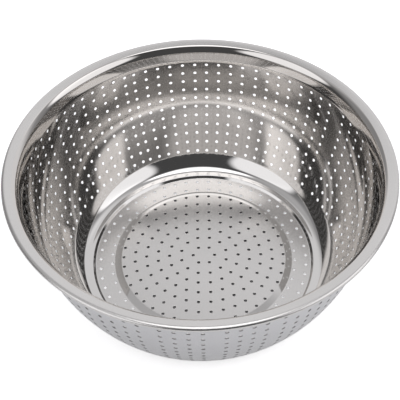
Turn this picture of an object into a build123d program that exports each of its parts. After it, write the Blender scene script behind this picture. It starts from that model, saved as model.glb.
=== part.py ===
"""A round stainless steel colander: one pressed, punched bowl whose edge is rolled round a wire.

The bowl stands on the pressed ring under its base. The axis is Z, and Z is zero on the surface
that it stands on. All sizes are in millimetres. The radii and heights of the bowl are those of
its inner face and of the top of its rim, from which the sheet's thickness grows outwards.
"""

from build123d import *
import math
import os

# Overall size, and the sheet that the bowl is pressed from
overall_radius = 150.0
roll_height = 114.7
sheet = 0.6

# Rolled edge: the sheet turns down and round a steel wire
wire_diameter = 2.0
wire_clearance = 0.1
wire_side_count = 5
roll_turn_angle = 260.0
roll_band_count = 4

# Rim: the flange falls a little towards the bowl and ends in a rounded inner edge
rim_width = 12.2
flange_angle = 14.0
edge_radius = 8.5
edge_band_count = 2

# Plain collar, and the small shoulder under it
collar_height = 104.0
shoulder_width = 2.0
shoulder_height = 2.5

# Punched wall: one large arc, upright at the shoulder, that leans in towards the base
wall_arc_radius = 164.6
wall_bottom_height = 15.4
wall_band_count = 5

# Plain rounded corner between the wall and the step down to the foot
corner_width = 12.28
corner_bulge = 2.3
step_width = 6.4
step_height = 6.0

# Foot ring, which the bowl stands on, and the raised disc inside it
foot_width = 17.3
disc_slope_width = 5.5
disc_rise = 2.4

# Punched holes: rings in the base and rows round the wall
hole_diameter = 2.5
punch_overrun = 1.2
base_ring_pitch = 9.75
base_margin = 3.0
holes_in_first_ring = 6
wall_row_pitch = 8.6
wall_column_count = 78
wall_margin = 1.5
first_row_distance = 2.9

# Of the full pattern, the solid carries only every few rings, rows and holes
ring_step_count = 2
ring_hole_step_count = 3
row_step_count = 3
column_step_count = 6

# Angles of a circle
quarter_turn_angle = 90.0
full_turn_angle = 360.0


def polar(centre, radius, angle):
    """The point at an angle in degrees on a circle round a centre."""
    turn = math.radians(angle)
    return (centre[0] + radius * math.cos(turn), centre[1] + radius * math.sin(turn))


def arc_points(centre, radius, start, end, bands):
    """Points along an arc, which split it into straight bands."""
    return [polar(centre, radius, start + (end - start) * i / bands) for i in range(bands + 1)]


# The roll's flats stand clear of the wire, and its widest corner sets the overall radius
wire_radius = wire_diameter / 2
roll_step_angle = roll_turn_angle / roll_band_count
roll_half_step = math.radians(roll_step_angle / 2)
roll_radius = (wire_radius + wire_clearance + sheet) / math.cos(roll_half_step)
roll_start_angle = quarter_turn_angle + flange_angle
roll_corners = [roll_start_angle - roll_step_angle * i for i in range(roll_band_count + 1)]
roll_reach = roll_radius * max(math.cos(math.radians(corner)) for corner in roll_corners)
roll_centre = (overall_radius - roll_reach, roll_height)

# Each feature starts where the one outside it ends, from the rim inwards
collar_radius = overall_radius - rim_width
wall_top_radius = collar_radius - shoulder_width
wall_centre = (wall_top_radius - wall_arc_radius, collar_height - shoulder_height)
wall_low_angle = math.degrees(math.asin((wall_bottom_height - wall_centre[1]) / wall_arc_radius))
wall_bottom_radius = polar(wall_centre, wall_arc_radius, wall_low_angle)[0]
step_top_radius = wall_bottom_radius - corner_width
foot_outer_radius = step_top_radius - step_width
foot_inner_radius = foot_outer_radius - foot_width
disc_radius = foot_inner_radius - disc_slope_width

# As many rings and rows as fit
base_ring_count = int((foot_outer_radius - base_margin) / base_ring_pitch)
wall_length = -math.radians(wall_low_angle) * wall_arc_radius
wall_row_count = 1 + int((wall_length - wall_margin - first_row_distance) / wall_row_pitch)


def corner_points(bottom, top):
    """The plain corner: the top of the step, and the middle of the bulge up to the wall."""
    run, rise = top[0] - bottom[0], top[1] - bottom[1]
    bulge = corner_bulge / math.hypot(run, rise)
    middle = (bottom[0] + run / 2 + bulge * rise, bottom[1] + rise / 2 - bulge * run)
    return [bottom, middle]


def edge_points():
    """The rounded inner edge, from the collar up to where it meets the sloping flange."""
    slope = math.radians(flange_angle)
    flange_end = polar(roll_centre, roll_radius, roll_start_angle)
    centre_radius = collar_radius + edge_radius
    top_radius = centre_radius - edge_radius * math.sin(slope)
    top_height = flange_end[1] - (flange_end[0] - top_radius) * math.tan(slope)
    centre = (centre_radius, top_height - edge_radius * math.cos(slope))
    return arc_points(centre, edge_radius, 2 * quarter_turn_angle, roll_start_angle, edge_band_count)


def bowl_profile():
    """The shown face of the sheet as one line, from the axis out to the end of the roll."""
    wall = arc_points(wall_centre, wall_arc_radius, wall_low_angle, 0, wall_band_count)
    roll = [polar(roll_centre, roll_radius, corner) for corner in roll_corners]
    return [
        (0, sheet + disc_rise),
        (disc_radius, sheet + disc_rise),
        (foot_inner_radius, sheet),
        (foot_outer_radius, sheet),
        *corner_points((step_top_radius, sheet + step_height), wall[0]),
        *wall,
        (collar_radius, collar_height),
        *edge_points(),
        *roll,
    ]


# A hole is a small square with the open area of the round one
hole_side = hole_diameter * math.sqrt(math.pi) / 2


def base_punch(radius, angle):
    """An upright punch for one hole in the base, turned about Z to its place in the ring."""
    reach = disc_rise + sheet
    depth = reach + 2 * punch_overrun
    return Rot(Z=angle) * Pos(X=radius, Z=reach / 2) * Box(hole_side, hole_side, depth)


def wall_punch(radius, height, angle):
    """A level punch for one hole in the wall, with its sides on the wall's own meridians."""
    turn = math.degrees(hole_side / radius)
    depth = sheet + 2 * punch_overrun
    section = Plane.XZ * Pos(X=radius, Y=height) * Rectangle(depth, hole_side)
    return Rot(Z=angle - turn / 2) * revolve(section, Axis.Z, turn)


def base_punches():
    """Punches of the rings in the base. A half step of each ring lies on the Y axis."""
    punches = []
    for ring in range(1, base_ring_count + 1, ring_step_count):
        step = full_turn_angle / (ring * holes_in_first_ring)
        for hole in range(0, ring * holes_in_first_ring, ring_hole_step_count):
            angle = quarter_turn_angle + step * (hole + 1 / 2)
            punches.append(base_punch(ring * base_ring_pitch, angle))
    return punches


def wall_punches():
    """Punches of the rows round the wall, counted down from the shoulder."""
    punches = []
    step = full_turn_angle / wall_column_count
    for row in range(0, wall_row_count, row_step_count):
        distance = first_row_distance + row * wall_row_pitch
        radius, height = polar(wall_centre, wall_arc_radius, -math.degrees(distance / wall_arc_radius))
        for column in range(0, wall_column_count, column_step_count):
            punches.append(wall_punch(radius, height, step * (column + 1 / 2)))
    return punches


def wire_section():
    """The wire's section, on the centre line of the roll."""
    points = arc_points(roll_centre, wire_radius, 0, full_turn_angle, wire_side_count)[:-1]
    return make_face(Polyline(*[(r, 0, z) for r, z in points], close=True))


profile = Polyline(*[(r, 0, z) for r, z in bowl_profile()])
bowl = Solid.thicken(Shell.revolve(profile, full_turn_angle, Axis.Z), sheet)
punched_bowl = bowl - base_punches() - wall_punches()
rim_wire = revolve(wire_section(), Axis.Z)

os.makedirs("parts", exist_ok=True)
export_step(punched_bowl, "parts/punched_bowl.step")
export_step(rim_wire, "parts/rim_wire.step")
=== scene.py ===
"""A round stainless steel colander, seen from above and in front, on a plain pale floor."""

import bmesh
import bpy
import math
from mathutils import Matrix, Vector


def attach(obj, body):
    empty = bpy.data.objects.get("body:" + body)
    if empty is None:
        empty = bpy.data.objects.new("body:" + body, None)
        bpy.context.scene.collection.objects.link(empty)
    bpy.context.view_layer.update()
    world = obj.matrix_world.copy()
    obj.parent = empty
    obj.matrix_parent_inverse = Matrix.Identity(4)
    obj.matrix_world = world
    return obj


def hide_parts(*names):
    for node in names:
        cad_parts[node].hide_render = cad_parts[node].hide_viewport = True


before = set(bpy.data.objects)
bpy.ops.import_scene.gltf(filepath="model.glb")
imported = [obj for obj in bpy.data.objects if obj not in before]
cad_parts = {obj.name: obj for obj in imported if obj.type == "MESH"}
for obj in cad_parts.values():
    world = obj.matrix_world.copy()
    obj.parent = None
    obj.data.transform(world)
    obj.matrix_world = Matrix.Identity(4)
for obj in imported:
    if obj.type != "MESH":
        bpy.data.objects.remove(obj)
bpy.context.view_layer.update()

MM = 0.001

# The bowl's lengths are in millimetres and its angles in degrees. Radii and heights are those of
# the face that shows, from which the sheet's thickness grows outwards
SHEET = 0.6

# Flange, its soft outer bend and the roll at its edge. The bend ends at BEND_TURN round its
# circle, and bend and roll together turn by ROLL_TURN
OVERALL_RADIUS = 149.95
TOP_HEIGHT = 116.5
FLANGE_SLOPE = 14.0
BEND_RADIUS = 3.6
BEND_TURN = 50.0
BEND_STEPS = 6
ROLL_RADIUS = 1.7
ROLL_TURN = 285.0
ROLL_STEPS = 14

# Rounded inner edge and its tighter brim: COLLAR_TURN and BRIM_TURN are where they start round
# their circles, and the rim's finish starts at BRIM_REACH
EDGE_RADIUS = 10.5
COLLAR_TURN = 166.0
EDGE_STEPS = 6
BRIM_RADIUS = 2.5
BRIM_TURN = 130.0
BRIM_STEPS = 4
BRIM_REACH = 142.0

# Leaning collar and punched wall
COLLAR_RADIUS = 137.7
WALL_TOP_RADIUS = 135.8
WALL_TOP = 101.5
WALL_ARC = 164.6
WALL_BOTTOM = 15.4

# Plain corner in two bows that meet at its knee, low step, foot ring and domed disc
UPPER_BOW = 20.0
UPPER_BOW_STEPS = 6
LOWER_BOW = 26.0
LOWER_BOW_STEPS = 5
CORNER_KNEE = (101.6, 4.4)
CORNER_FOOT = (96.7, 2.85)
STEP_TOP = (93.8, 2.8)
FOOT_OUTER = 92.0
FOOT_INNER = 75.5
FOOT_FACE = 0.63
DISC_EDGE = 70.0
DISC_EDGE_HEIGHT = 2.6
DISC_CROWN = 1.1

# Radii of the small roundings at the step and the disc
STEP_TOP_ROUNDING = 0.8
STEP_FOOT_ROUNDING = 0.5
DISC_FOOT_ROUNDING = 2.0
DISC_EDGE_ROUNDING = 1.2
ROUNDING_STEPS = 3

# Punched holes, each with a soft lip drawn down round it by the punch
HOLE_RADIUS = 1.32
LIP_RADIUS = 1.48
LIP_DEPTH = 0.06
RING_RADII = [9.13, 19.52, 29.28, 39.05, 48.78, 58.53, 68.09, 77.96, 87.62]
DISC_RING_COUNT = 7
HOLES_IN_FIRST_RING = 6
ROW_COUNT = 11
ROW_PITCH = 8.6
FIRST_ROW_DROP = 2.9

# The wall was punched a few columns at a time, with uneven seams between the groups: the angle
# of each group's first column, clockwise from the back, its count of columns and their pitch
COLUMN_GROUPS = [
    (-79.22, 4, 4.47), (-59.98, 4, 4.44), (-42.05, 4, 4.50), (-24.95, 4, 4.55), (-6.62, 2, 4.51),
    (2.18, 4, 4.48), (20.75, 4, 4.47), (39.11, 4, 4.48), (59.84, 4, 4.45), (79.6, 4, 4.47),
    (97.4, 4, 4.47), (115.2, 2, 4.47), (124.1, 4, 4.47), (141.9, 4, 4.46), (161.2, 4, 4.10),
    (180.55, 4, 4.25), (200.1, 4, 4.28), (218.0, 4, 4.47), (235.9, 4, 4.47), (253.8, 2, 4.47),
    (262.8, 4, 4.47),
]

# Faces across the cell of each hole, half the width of a base ring's strip of cells, the gap
# between a strip and the sheet beside it, and the first inset, whose corners are then moved
CELL_SPLITS = 3
HALF_STRIP = 3.2
BORDER = 0.12
FIRST_INSET = 0.1

# Places this close are one, and edges that turn by more radians than this are sharp
SAME_PLACE = 0.003
SHARP_TURN = 0.3

# How squarely a face lies along the sheet: under the first it is a cut, over the second the wall
CUT_FACING = 0.5
WALL_FACING = 0.99

# The bowl's finishes, by the order of its materials
BASE, CORNER, WALL, COLLAR, RIM, CUT_EDGE, OUTER_WALL = range(7)


def polar(centre, radius, degrees):
    """A point on a circle in the plane of the profile."""
    turn = math.radians(degrees)
    return Vector((centre[0] + radius * math.cos(turn), centre[1] + radius * math.sin(turn)))


def arc(centre, radius, start, end, steps):
    """Points along an arc in the plane of the profile."""
    return [polar(centre, radius, start + (end - start) * i / steps) for i in range(steps + 1)]


def rounded(before, corner, after, radius, steps):
    """The points that round one corner of the profile."""
    corner = Vector(corner)
    a = (Vector(before) - corner).normalized()
    b = (Vector(after) - corner).normalized()
    half = a.angle(b) / 2
    middle = corner + (a + b).normalized() * radius / math.sin(half)
    first = corner + a * radius / math.tan(half) - middle
    last = corner + b * radius / math.tan(half) - middle
    turn = first.angle_signed(last)
    return [middle + Matrix.Rotation(-turn * i / steps, 2) @ first for i in range(steps + 1)]


WALL_CENTRE = Vector((WALL_TOP_RADIUS - WALL_ARC, WALL_TOP))
WALL_LENGTH = math.asin((WALL_CENTRE.y - WALL_BOTTOM) / WALL_ARC) * WALL_ARC
ROW_DROPS = [FIRST_ROW_DROP + row * ROW_PITCH for row in range(ROW_COUNT)]
ROW_BORDERS = [(a + b) / 2 for a, b in zip(ROW_DROPS, ROW_DROPS[1:])]


def wall_at(drop):
    """The wall's shown face, at a length down from the shoulder."""
    return polar(WALL_CENTRE, WALL_ARC, -math.degrees(drop / WALL_ARC))


def disc_at(radius):
    """Height of the slightly domed disc."""
    return DISC_EDGE_HEIGHT + DISC_CROWN * (1 - (radius / DISC_EDGE) ** 2)


def foot_at(radius):
    """Height of the flat foot ring, the same at every radius."""
    return FOOT_FACE


def disc_outline():
    """The rounded edge of the disc and the slope down to the foot ring."""
    edge = (DISC_EDGE, DISC_EDGE_HEIGHT)
    foot = (FOOT_INNER, FOOT_FACE)
    points = rounded((0, DISC_EDGE_HEIGHT), edge, foot, DISC_EDGE_ROUNDING, ROUNDING_STEPS)
    outer = (FOOT_OUTER, FOOT_FACE)
    return points + rounded(edge, foot, outer, DISC_FOOT_ROUNDING, ROUNDING_STEPS)


def bow(start, end, degrees, steps):
    """Points from one place to another on an arc that turns upwards by an angle."""
    start, end = Vector(start), Vector(end)
    half = math.radians(degrees / 2)
    run = end - start
    across = Vector((-run.y, run.x))
    centre = (start + end) / 2 + across / (2 * math.tan(half))
    first = start - centre
    return [centre + Matrix.Rotation(2 * half * i / steps, 2) @ first for i in range(steps + 1)]


def corner_outline():
    """From the foot ring up the low step, over its shelf and round the plain corner to the wall."""
    foot = (FOOT_OUTER, FOOT_FACE)
    inner = (FOOT_INNER, FOOT_FACE)
    points = rounded(inner, foot, STEP_TOP, STEP_FOOT_ROUNDING, ROUNDING_STEPS)
    points += rounded(foot, STEP_TOP, CORNER_FOOT, STEP_TOP_ROUNDING, ROUNDING_STEPS)
    points += bow(CORNER_FOOT, CORNER_KNEE, LOWER_BOW, LOWER_BOW_STEPS)
    return points + bow(CORNER_KNEE, wall_at(WALL_LENGTH), UPPER_BOW, UPPER_BOW_STEPS)[1:-1]


def wall_outline():
    """The wall from the bottom up: the borders of its rows of cells, each row in equal parts."""
    borders = [0] + ROW_BORDERS + [WALL_LENGTH]
    drops = [0]
    for upper, lower in zip(borders, borders[1:]):
        drops += [upper + (lower - upper) * i / CELL_SPLITS for i in range(1, CELL_SPLITS + 1)]
    return [wall_at(drop) for drop in reversed(drops)]


def rim_outline():
    """The leaning collar, the rounded edge, the flange, its soft outer bend and the roll."""
    top = 90 + FLANGE_SLOPE
    shift = polar((0, 0), BEND_RADIUS - ROLL_RADIUS, BEND_TURN)
    bend_centre = Vector((OVERALL_RADIUS - ROLL_RADIUS - shift.x, TOP_HEIGHT - BEND_RADIUS))
    flange_end = polar(bend_centre, BEND_RADIUS, top)
    collar_top = Vector((COLLAR_RADIUS, 0))
    middle = collar_top - polar((0, 0), EDGE_RADIUS, COLLAR_TURN)
    inset = polar((0, 0), EDGE_RADIUS - BRIM_RADIUS, BRIM_TURN)
    brim_end = middle + inset + polar((0, 0), BRIM_RADIUS, top)
    drop = (flange_end.x - brim_end.x) * math.tan(math.radians(FLANGE_SLOPE))
    middle.y += flange_end.y - drop - brim_end.y
    points = [wall_at(0)] + arc(middle, EDGE_RADIUS, COLLAR_TURN, BRIM_TURN, EDGE_STEPS)
    points += arc(middle + inset, BRIM_RADIUS, BRIM_TURN, top, BRIM_STEPS)[1:]
    points.append(points[-1].lerp(flange_end, 0.5))
    points += arc(bend_centre, BEND_RADIUS, top, BEND_TURN, BEND_STEPS)
    roll_end = top - ROLL_TURN
    return points + arc(bend_centre + shift, ROLL_RADIUS, BEND_TURN, roll_end, ROLL_STEPS)[1:]


COLUMNS = [first + pitch * i for first, count, pitch in COLUMN_GROUPS for i in range(count)]
COLUMNS_ROUND = [COLUMNS[-1] - 360] + COLUMNS + [COLUMNS[0] + 360]
SEAMS = [(a + b) / 2 for a, b in zip(COLUMNS_ROUND, COLUMNS_ROUND[1:])]
LINE_COUNT = len(COLUMNS) * CELL_SPLITS


def line_angle(index):
    """Angle of one of the lengthwise lines, of which each column has the same number."""
    column, split = divmod(index % LINE_COUNT, CELL_SPLITS)
    left, right = SEAMS[column], SEAMS[column + 1]
    return math.radians(left + (right - left) * split / CELL_SPLITS)


def reach_of(place):
    """Distance of a place from the axis, in millimetres."""
    return place.xy.length / MM


def even_turn(place):
    """Angle of a place clockwise from the back, from none to a full turn."""
    return math.atan2(place.x, place.y) % (2 * math.pi)


def on_sheet(point, angle):
    """The place of a point of the profile, turned clockwise from the back."""
    return Vector((point.x * math.sin(angle), point.x * math.cos(angle), point.y)) * MM


def spin_outline(sheet, points, steps):
    """Spins one line of the profile round the axis, clockwise from the back, into new faces."""
    before = len(sheet.faces)
    corners = [sheet.verts.new(on_sheet(point, 0)) for point in points]
    lines = [sheet.edges.new(pair) for pair in zip(corners, corners[1:])]
    bmesh.ops.spin(
        sheet, geom=corners + lines, cent=(0, 0, 0), axis=(0, 0, 1),
        angle=-2 * math.pi, steps=steps, use_merge=True,
    )
    return list(sheet.faces)[before:]


def place_lines(sheet):
    """Moves the evenly spun lines to the uneven angles of the punched columns."""
    step = 2 * math.pi / LINE_COUNT
    for vertex in sheet.verts:
        angle = line_angle(round(even_turn(vertex.co) / step))
        vertex.co = on_sheet(Vector((reach_of(vertex.co), vertex.co.z / MM)), angle)


def wall_hole(angle, drop):
    """Gives the places round a hole of the wall, by turn, radius and depth under the face."""
    def place(turn, radius, depth):
        spot = wall_at(drop + radius * math.sin(turn))
        spot -= (WALL_CENTRE - spot).normalized() * depth
        return on_sheet(spot, angle + radius * math.cos(turn) / spot.x)
    return place


def base_hole(angle, ring, height):
    """Gives the places round a hole of the base, by turn, radius and depth under the face."""
    def place(turn, radius, depth):
        inward = RING_RADII[ring] - radius * math.sin(turn)
        across = radius * math.cos(turn)
        reach = math.hypot(inward, across)
        return on_sheet(Vector((reach, height(reach) - depth)), angle + math.atan2(across, inward))
    return place


def cells_of(faces, steps, row_of, hole_at):
    """Groups small faces into the cells of their holes: each a shade, its faces and its hole."""
    groups = {}
    for face in faces:
        middle = face.calc_center_median()
        row = row_of(middle)
        if row is not None:
            column = int(even_turn(middle) / (2 * math.pi) * steps) // CELL_SPLITS
            groups.setdefault((column, row), []).append(face)
    return [((c + r) % 2, group, hole_at(c, r)) for (c, r), group in groups.items()]


def wall_cells(faces):
    """The cells of the punched wall."""
    bottom = wall_at(WALL_LENGTH).y

    def row_of(middle):
        height = middle.z / MM
        if not bottom < height < WALL_CENTRE.y or reach_of(middle) > WALL_TOP_RADIUS:
            return None
        return sum(height < wall_at(border).y for border in ROW_BORDERS)

    def hole_at(column, row):
        return wall_hole(math.radians(COLUMNS[column]), ROW_DROPS[row])

    return cells_of(faces, LINE_COUNT, row_of, hole_at)


def base_cells(sheet, ring, inner, outer, height):
    """Spins the strip of one ring of base holes between two radii, and returns its cells."""
    count = HOLES_IN_FIRST_RING * (ring + 1)
    radii = [inner + (outer - inner) * i / CELL_SPLITS for i in range(CELL_SPLITS + 1)]
    strip = [Vector((radius, height(radius))) for radius in radii]
    faces = spin_outline(sheet, strip, count * CELL_SPLITS)

    def hole_at(column, row):
        return base_hole(2 * math.pi * (column + 0.5) / count, ring, height)

    return cells_of(faces, count * CELL_SPLITS, lambda middle: 0, hole_at), strip


def open_holes(sheet, cells):
    """Joins the faces of each cell, draws a lip into it and opens its hole."""
    names = sheet.faces.layers.int["cell"]
    for name, (shade, faces, place) in enumerate(cells, 1):
        for face in faces:
            face[names] = name
    for half in (0, 1):
        chosen = [face for shade, faces, place in cells if shade == half for face in faces]
        bmesh.ops.dissolve_faces(sheet, faces=chosen)
    joined = [face for face in sheet.faces if face[names]]
    for radius, depth in ((LIP_RADIUS, 0), (HOLE_RADIUS, LIP_DEPTH)):
        bmesh.ops.inset_individual(sheet, faces=joined, thickness=FIRST_INSET * MM)
        for face in joined:
            place = cells[face[names] - 1][2]
            centre = place(0, 0, 0)
            across = place(0, 1, 0) - centre
            down = place(math.pi / 2, 1, 0) - centre

            def turn_of(vertex):
                offset = vertex.co - centre
                return math.atan2(offset.dot(down), offset.dot(across))

            for rank, vertex in enumerate(sorted(face.verts, key=turn_of)):
                turn = 2 * math.pi * (rank + 0.5) / len(face.verts) - math.pi
                vertex.co = place(turn, radius, depth)
    bmesh.ops.delete(sheet, geom=joined, context="FACES_ONLY")


def border_edges(sheet, point):
    """The open edges of the sheet that lie round the axis at one point of the profile."""
    def near(vertex):
        away = abs(reach_of(vertex.co) - point.x), abs(vertex.co.z / MM - point.y)
        return max(away) < SAME_PLACE
    return [edge for edge in sheet.edges if edge.is_boundary and all(near(v) for v in edge.verts)]


def add_base(sheet, rings, height, inner, outer):
    """Makes the strips of one part of the base, and the pairs of borders that join them."""
    low = inner.x + BORDER if inner else 0
    high = outer.x - BORDER
    cells, borders = [], [inner] if inner else []
    for ring in rings:
        radius = RING_RADII[ring]
        made, strip = base_cells(
            sheet, ring, max(radius - HALF_STRIP, low), min(radius + HALF_STRIP, high), height)
        cells += made
        borders += [strip[0], strip[-1]]
    borders.append(outer)
    if not inner:
        bmesh.ops.edgeloop_fill(sheet, edges=border_edges(sheet, borders.pop(0)))
    return cells, list(zip(borders[::2], borders[1::2]))


def finish_of(face):
    """Which of the finishes a face of the sheet has, by where it lies on the bowl."""
    middle = face.calc_center_median()
    reach, height = reach_of(middle), middle.z / MM
    if reach < DISC_EDGE or FOOT_INNER < reach < FOOT_OUTER:
        return BASE
    if height < WALL_BOTTOM:
        return CORNER
    if height < WALL_TOP:
        return WALL
    return COLLAR if reach < BRIM_REACH else RIM


def wall_normal(place):
    """The way that the wall's own curve faces at a place on it."""
    slope = WALL_CENTRE - Vector((reach_of(place), place.z / MM))
    return on_sheet(slope, even_turn(place)).normalized()


def finish_holes(mesh):
    """Shades the wall by its own curve, so that holes don't dent it.

    It also gives the cuts of the holes a dull finish painted dark as shade, and the outside of the
    wall its own finish.
    """
    normals = [corner.vector for corner in mesh.corner_normals]
    bottom = wall_at(WALL_LENGTH).y
    for face in mesh.polygons:
        height = face.center.z / MM
        if reach_of(face.center) < FOOT_OUTER - SHEET and abs(face.normal.z) < CUT_FACING:
            face.material_index = CUT_EDGE
        facing = face.normal.dot(wall_normal(face.center))
        if bottom - SHEET < height < WALL_TOP and facing < CUT_FACING:
            face.material_index = CUT_EDGE if facing > -CUT_FACING else OUTER_WALL
        for loop in face.loop_indices:
            place = mesh.vertices[mesh.loops[loop].vertex_index].co
            if bottom - SHEET < height < WALL_TOP and abs(facing) > WALL_FACING:
                normals[loop] = wall_normal(place) * math.copysign(1, facing)
            elif height > WALL_TOP > place.z / MM - SHEET:
                outward = face.normal.xy.dot(place.xy.normalized())
                lean = on_sheet(Vector((outward, face.normal.z)), even_turn(place)).normalized()
                normals[loop] = (lean + wall_normal(place) * math.copysign(1, facing)).normalized()
    mesh.normals_split_custom_set(normals)


def make_bowl(materials):
    """The whole bowl: spun, punched and then given its thickness as one sheet."""
    sheet = bmesh.new()
    sheet.faces.layers.int.new("cell")
    disc, corner, wall, rim = disc_outline(), corner_outline(), wall_outline(), rim_outline()
    spin_outline(sheet, disc, LINE_COUNT)
    cells = wall_cells(spin_outline(sheet, corner + wall + rim, LINE_COUNT))
    place_lines(sheet)
    disc_cells, disc_pairs = add_base(sheet, range(DISC_RING_COUNT), disc_at, None, disc[0])
    foot_rings = range(DISC_RING_COUNT, len(RING_RADII))
    foot_cells, foot_pairs = add_base(sheet, foot_rings, foot_at, disc[-1], corner[0])
    open_holes(sheet, cells + disc_cells + foot_cells)
    for pair in disc_pairs + foot_pairs:
        edges = [edge for point in pair for edge in border_edges(sheet, point)]
        bmesh.ops.bridge_loops(sheet, edges=edges)
    bmesh.ops.remove_doubles(sheet, verts=sheet.verts, dist=SAME_PLACE * MM)
    bmesh.ops.recalc_face_normals(sheet, faces=sheet.faces)
    lowest = min(sheet.faces, key=lambda face: reach_of(face.calc_center_median()))
    if lowest.normal.z < 0:
        bmesh.ops.reverse_faces(sheet, faces=sheet.faces)
    for face in sheet.faces:
        face.smooth = True
        face.material_index = finish_of(face)
    bmesh.ops.solidify(sheet, geom=sheet.faces, thickness=SHEET * MM)
    for edge in sheet.edges:
        if edge.is_manifold and edge.calc_face_angle(0) > SHARP_TURN:
            edge.smooth = False
    mesh = bpy.data.meshes.new("punched_bowl_sheet")
    sheet.to_mesh(mesh)
    sheet.free()
    finish_holes(mesh)
    for material in materials:
        mesh.materials.append(material)
    bowl = bpy.data.objects.new("punched_bowl_sheet", mesh)
    bpy.context.scene.collection.objects.link(bowl)
    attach(bowl, "root")
    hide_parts("punched_bowl")


def node(tree, kind, place=(0, 0), **inputs):
    """Adds a node and sets its unlinked inputs by name."""
    made = tree.nodes.new(kind)
    made.location = place
    for name, value in inputs.items():
        made.inputs[name.replace("_", " ")].default_value = value
    return made


def brushing_group():
    """Fine brush lines and soft wear, from object coordinates turned to round-the-axis ones."""
    group = bpy.data.node_groups.new("brush lines", "ShaderNodeTree")
    for name in ("Lines round", "Lines up", "Depth", "Roughness", "Spread"):
        group.interface.new_socket(name, in_out="INPUT", socket_type="NodeSocketFloat")
    group.interface.new_socket("Roughness", in_out="OUTPUT", socket_type="NodeSocketFloat")
    group.interface.new_socket("Normal", in_out="OUTPUT", socket_type="NodeSocketVector")
    group.interface.new_socket("Wear", in_out="OUTPUT", socket_type="NodeSocketFloat")
    start = node(group, "NodeGroupInput", (-1200, 0))
    end = node(group, "NodeGroupOutput", (900, 0))
    where = node(group, "ShaderNodeTexCoord", (-1200, -300))
    split = node(group, "ShaderNodeSeparateXYZ", (-1000, -300))
    turn = node(group, "ShaderNodeMath", (-800, -200))
    turn.operation = "ARCTAN2"
    reach = node(group, "ShaderNodeVectorMath", (-800, -500))
    reach.operation = "LENGTH"
    around = node(group, "ShaderNodeMath", (-600, -200))
    around.operation = "MULTIPLY"
    up = node(group, "ShaderNodeMath", (-600, -500))
    up.operation = "MULTIPLY"
    join = node(group, "ShaderNodeCombineXYZ", (-400, -300))
    lines = node(group, "ShaderNodeTexNoise", (-200, -300), Scale=1.0, Detail=3.0)
    wear = node(group, "ShaderNodeTexNoise", (-200, -600), Scale=14.0, Detail=4.0)
    bump = node(group, "ShaderNodeBump", (500, -300), Distance=0.0002)
    shift = node(group, "ShaderNodeMath", (100, 0))
    shift.operation = "SUBTRACT"
    shift.inputs[1].default_value = 0.5
    scale = node(group, "ShaderNodeMath", (300, 0))
    scale.operation = "MULTIPLY_ADD"
    link = group.links.new
    link(where.outputs["Object"], split.inputs[0])
    link(where.outputs["Object"], reach.inputs[0])
    link(split.outputs["X"], turn.inputs[0])
    link(split.outputs["Y"], turn.inputs[1])
    link(turn.outputs[0], around.inputs[0])
    link(start.outputs["Lines round"], around.inputs[1])
    link(reach.outputs["Value"], up.inputs[0])
    link(start.outputs["Lines up"], up.inputs[1])
    link(around.outputs[0], join.inputs["X"])
    link(up.outputs[0], join.inputs["Y"])
    link(join.outputs[0], lines.inputs["Vector"])
    link(where.outputs["Object"], wear.inputs["Vector"])
    link(lines.outputs["Fac"], bump.inputs["Height"])
    link(start.outputs["Depth"], bump.inputs["Strength"])
    link(wear.outputs["Fac"], shift.inputs[0])
    link(shift.outputs[0], scale.inputs[0])
    link(start.outputs["Spread"], scale.inputs[1])
    link(start.outputs["Roughness"], scale.inputs[2])
    link(scale.outputs[0], end.inputs["Roughness"])
    link(bump.outputs["Normal"], end.inputs["Normal"])
    link(wear.outputs["Fac"], end.inputs["Wear"])
    return group


def set_ramp(ramp, *stops):
    """Sets the stops of a colour ramp, each a position and a colour."""
    for element, (position, colour) in zip(ramp.color_ramp.elements, stops):
        element.position = position
        element.color = (*colour, 1)


# Each finish: its name, darker and lighter tint, brush lines round the axis and away from it,
# roughness, depth of the brush lines, and spread of the roughness by wear
BOWL_FINISHES = [
    ("satin base steel", (0.665, 0.652, 0.636), (0.705, 0.691, 0.674),
     (2.0, 900.0), 0.25, 0.03, 0.06),
    ("mirror corner steel", (0.68, 0.667, 0.65), (0.70, 0.686, 0.669),
     (4.0, 300.0), 0.06, 0.01, 0.06),
    ("polished wall steel", (0.667, 0.647, 0.624), (0.707, 0.686, 0.662),
     (420.0, 9.0), 0.075, 0.002, 0.02),
    ("polished collar steel", (0.69, 0.667, 0.642), (0.71, 0.686, 0.66),
     (3.0, 500.0), 0.06, 0.01, 0.06),
    ("satin rim steel", (0.68, 0.667, 0.65), (0.72, 0.706, 0.688),
     (2.0, 1200.0), 0.24, 0.04, 0.06),
    # The cut edges' dark tints are painted shade, so that the holes look dark; their roughness is
    # their own dull finish
    ("cut edge steel with painted shade", (0.25, 0.247, 0.243), (0.31, 0.306, 0.30),
     (90.0, 900.0), 0.5, 0.02, 0.06),
    ("outer wall steel", (0.655, 0.653, 0.662), (0.695, 0.692, 0.70),
     (3.0, 700.0), 0.18, 0.02, 0.06),
]
WIRE_FINISH = (
    "drawn wire steel", (0.45, 0.45, 0.45), (0.5, 0.5, 0.5), (2.0, 400.0), 0.4, 0.05, 0.06)


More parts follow.
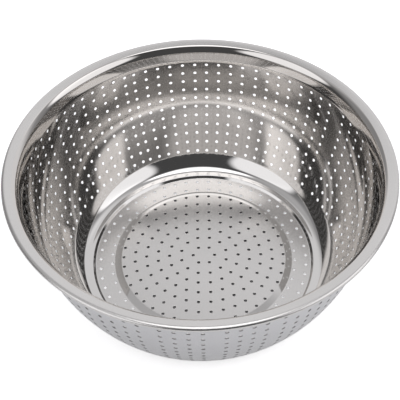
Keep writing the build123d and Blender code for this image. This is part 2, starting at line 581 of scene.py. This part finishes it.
def steel(group, name, low, high, lines, roughness, depth, spread):
    """A stainless finish: two close tints by wear, brush lines and a roughness."""
    material = bpy.data.materials.new(name)
    material.use_nodes = True
    tree = material.node_tree
    shader = tree.nodes["Principled BSDF"]
    shader.inputs["Metallic"].default_value = 1.0
    brush = node(tree, "ShaderNodeGroup", (-600, 0))
    brush.node_tree = group
    brush.inputs["Lines round"].default_value = lines[0]
    brush.inputs["Lines up"].default_value = lines[1]
    brush.inputs["Depth"].default_value = depth
    brush.inputs["Roughness"].default_value = roughness
    brush.inputs["Spread"].default_value = spread
    ramp = node(tree, "ShaderNodeValToRGB", (-300, 200))
    set_ramp(ramp, (0.3, low), (0.7, high))
    tree.links.new(brush.outputs["Wear"], ramp.inputs["Fac"])
    tree.links.new(ramp.outputs["Color"], shader.inputs["Base Color"])
    tree.links.new(brush.outputs["Roughness"], shader.inputs["Roughness"])
    tree.links.new(brush.outputs["Normal"], shader.inputs["Normal"])
    return material


# Soft round patches of light: compass direction clockwise from the back and height above the
# level in degrees, radii of full light and of its edge in degrees, and strength
LIGHT_PATCHES = [
    (13, 20, 36, 58, 0.53),
    (0, 30, 70, 110, 0.22),
    (172, 80, 17, 23, 1.55),
    (-75, 59, 10, 28, 0.22),
    (75, 59, 10, 28, 0.22),
    (-127, 30, 21, 28, 1.10),
    (110, 31, 21, 28, 1.12),
]
LIGHT_TINT = (1.0, 0.997, 1.022)
ROOM_TINT = (0.075, 0.075, 0.077, 1)

# The floor, in metres. It glows by distance from the axis, not under the foot and fully beyond
# it, and more to the camera than in the bowl's reflections
FLOOR_REACH = 6.0
FLOOR_DROP = 0.0002
FLOOR_GLOW = [(0.072, (0, 0, 0)), (0.076, (0.45, 0.45, 0.45)), (0.110, (1, 1, 1))]
GLOW_TO_CAMERA = 0.66
GLOW_IN_REFLECTIONS = 0.13


def floor_material():
    """A pale floor, white to the camera beyond the bowl's foot, that keeps the bowl's shadow."""
    material = bpy.data.materials.new("pale floor")
    material.use_nodes = True
    tree = material.node_tree
    shader = tree.nodes["Principled BSDF"]
    where = node(tree, "ShaderNodeTexCoord", (-900, 0))
    grain = node(tree, "ShaderNodeTexNoise", (-700, 0), Scale=30.0)
    tint = node(tree, "ShaderNodeValToRGB", (-500, 0))
    set_ramp(tint, (0.0, (0.86, 0.86, 0.865)), (1.0, (0.90, 0.90, 0.905)))
    reach = node(tree, "ShaderNodeVectorMath", (-700, 300))
    reach.operation = "LENGTH"
    outside = node(tree, "ShaderNodeValToRGB", (-500, 300))
    outside.color_ramp.elements.new(0.5)
    set_ramp(outside, *FLOOR_GLOW)
    rays = node(tree, "ShaderNodeLightPath", (-700, 600))
    seen = node(tree, "ShaderNodeMath", (-500, 600))
    seen.operation = "MULTIPLY"
    seen.inputs[1].default_value = GLOW_TO_CAMERA
    lift = node(tree, "ShaderNodeMath", (-300, 600))
    lift.operation = "MULTIPLY_ADD"
    lift.inputs[1].default_value = GLOW_IN_REFLECTIONS
    link = tree.links.new
    link(where.outputs["Object"], grain.inputs["Vector"])
    link(grain.outputs["Fac"], tint.inputs["Fac"])
    link(tint.outputs["Color"], shader.inputs["Base Color"])
    link(where.outputs["Object"], reach.inputs[0])
    link(reach.outputs["Value"], outside.inputs["Fac"])
    link(outside.outputs["Color"], shader.inputs["Emission Color"])
    link(rays.outputs["Is Camera Ray"], seen.inputs[0])
    link(rays.outputs["Is Glossy Ray"], lift.inputs[0])
    link(seen.outputs[0], lift.inputs[2])
    link(lift.outputs[0], shader.inputs["Emission Strength"])
    shader.inputs["Roughness"].default_value = 0.9
    shader.inputs["Specular IOR Level"].default_value = 0.1
    return material


def make_floor():
    """One wide flat floor under the bowl."""
    shape = bmesh.new()
    bmesh.ops.create_grid(shape, x_segments=1, y_segments=1, size=FLOOR_REACH)
    mesh = bpy.data.meshes.new("floor")
    shape.to_mesh(mesh)
    shape.free()
    mesh.materials.append(floor_material())
    floor = bpy.data.objects.new("floor", mesh)
    floor.location = (0, 0, -FLOOR_DROP)
    bpy.context.scene.collection.objects.link(floor)


def light_patch(tree, where, compass, height, inner, outer, strength):
    """A soft round patch of the room's light, centred on a direction given in degrees."""
    toward = node(tree, "ShaderNodeVectorMath", (-700, 0))
    toward.operation = "DOT_PRODUCT"
    level = math.cos(math.radians(height))
    turn = math.radians(compass)
    aim = (level * math.sin(turn), level * math.cos(turn), math.sin(math.radians(height)))
    toward.inputs[1].default_value = aim
    ramp = node(tree, "ShaderNodeValToRGB", (-500, 0))
    ramp.color_ramp.interpolation = "EASE"
    edge, full = math.cos(math.radians(outer)), math.cos(math.radians(inner))
    set_ramp(ramp, (edge, (0, 0, 0)), (full, LIGHT_TINT))
    patch = node(tree, "ShaderNodeBackground", (-200, 0), Strength=strength)
    tree.links.new(where.outputs["Generated"], toward.inputs[0])
    tree.links.new(toward.outputs["Value"], ramp.inputs["Fac"])
    tree.links.new(ramp.outputs["Color"], patch.inputs["Color"])
    return patch


def studio():
    """A dim room with soft round patches of light. The camera itself sees plain white."""
    world = bpy.data.worlds.new("studio")
    bpy.context.scene.world = world
    world.use_nodes = True
    tree = world.node_tree
    where = node(tree, "ShaderNodeTexCoord", (-900, 0))
    room = tree.nodes["Background"]
    room.inputs["Color"].default_value = ROOM_TINT
    room.inputs["Strength"].default_value = 1.0
    last = room
    for compass, height, inner, outer, strength in LIGHT_PATCHES:
        patch = light_patch(tree, where, compass, height, inner, outer, strength)
        both = node(tree, "ShaderNodeAddShader", (200, 0))
        tree.links.new(last.outputs[0], both.inputs[0])
        tree.links.new(patch.outputs[0], both.inputs[1])
        last = both
    rays = node(tree, "ShaderNodeLightPath", (200, 300))
    plain = node(tree, "ShaderNodeBackground", (200, -300), Color=(1, 1, 1, 1), Strength=1.0)
    seen = node(tree, "ShaderNodeMixShader", (400, 0))
    tree.links.new(rays.outputs["Is Camera Ray"], seen.inputs[0])
    tree.links.new(last.outputs[0], seen.inputs[1])
    tree.links.new(plain.outputs[0], seen.inputs[2])
    tree.links.new(seen.outputs[0], tree.nodes["World Output"].inputs["Surface"])


# The camera, in metres and degrees, and its lens, in millimetres and parts of the sensor
CAMERA_PLACE = (0.0020, -0.4710, 0.6079)
CAMERA_TILT = 50.336
CAMERA_TURN = 4.47
CAMERA_ROLL = 2.396
LENS_LENGTH = 80.41
SENSOR_WIDTH = 36
LENS_SHIFT = (-0.1256, 0.0710)


def set_camera():
    """The camera, placed by the fit of the rim, the hole rows and the base to the view."""
    tilt, turn, roll = [math.radians(a) for a in (CAMERA_TILT, CAMERA_TURN, CAMERA_ROLL)]
    level = math.cos(tilt)
    forward = Vector((level * math.sin(turn), level * math.cos(turn), -math.sin(tilt)))
    right = Vector((math.cos(turn), -math.sin(turn), 0))
    up = right.cross(forward)
    side = right * math.cos(roll) + up * math.sin(roll)
    top = up * math.cos(roll) - right * math.sin(roll)
    lens = bpy.data.cameras.new("camera")
    lens.lens = LENS_LENGTH
    lens.sensor_width = SENSOR_WIDTH
    lens.shift_x, lens.shift_y = LENS_SHIFT
    camera = bpy.data.objects.new("camera", lens)
    frame_axes = Matrix((side, top, -forward)).transposed().to_4x4()
    frame_axes.translation = Vector(CAMERA_PLACE)
    camera.matrix_world = frame_axes
    bpy.context.scene.collection.objects.link(camera)
    bpy.context.scene.camera = camera


brush = brushing_group()
make_bowl([steel(brush, *finish) for finish in BOWL_FINISHES])
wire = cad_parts["rim_wire"]
wire.data.materials.clear()
wire.data.materials.append(steel(brush, *WIRE_FINISH))
make_floor()
studio()
set_camera()
bpy.context.scene.view_settings.view_transform = "Standard"
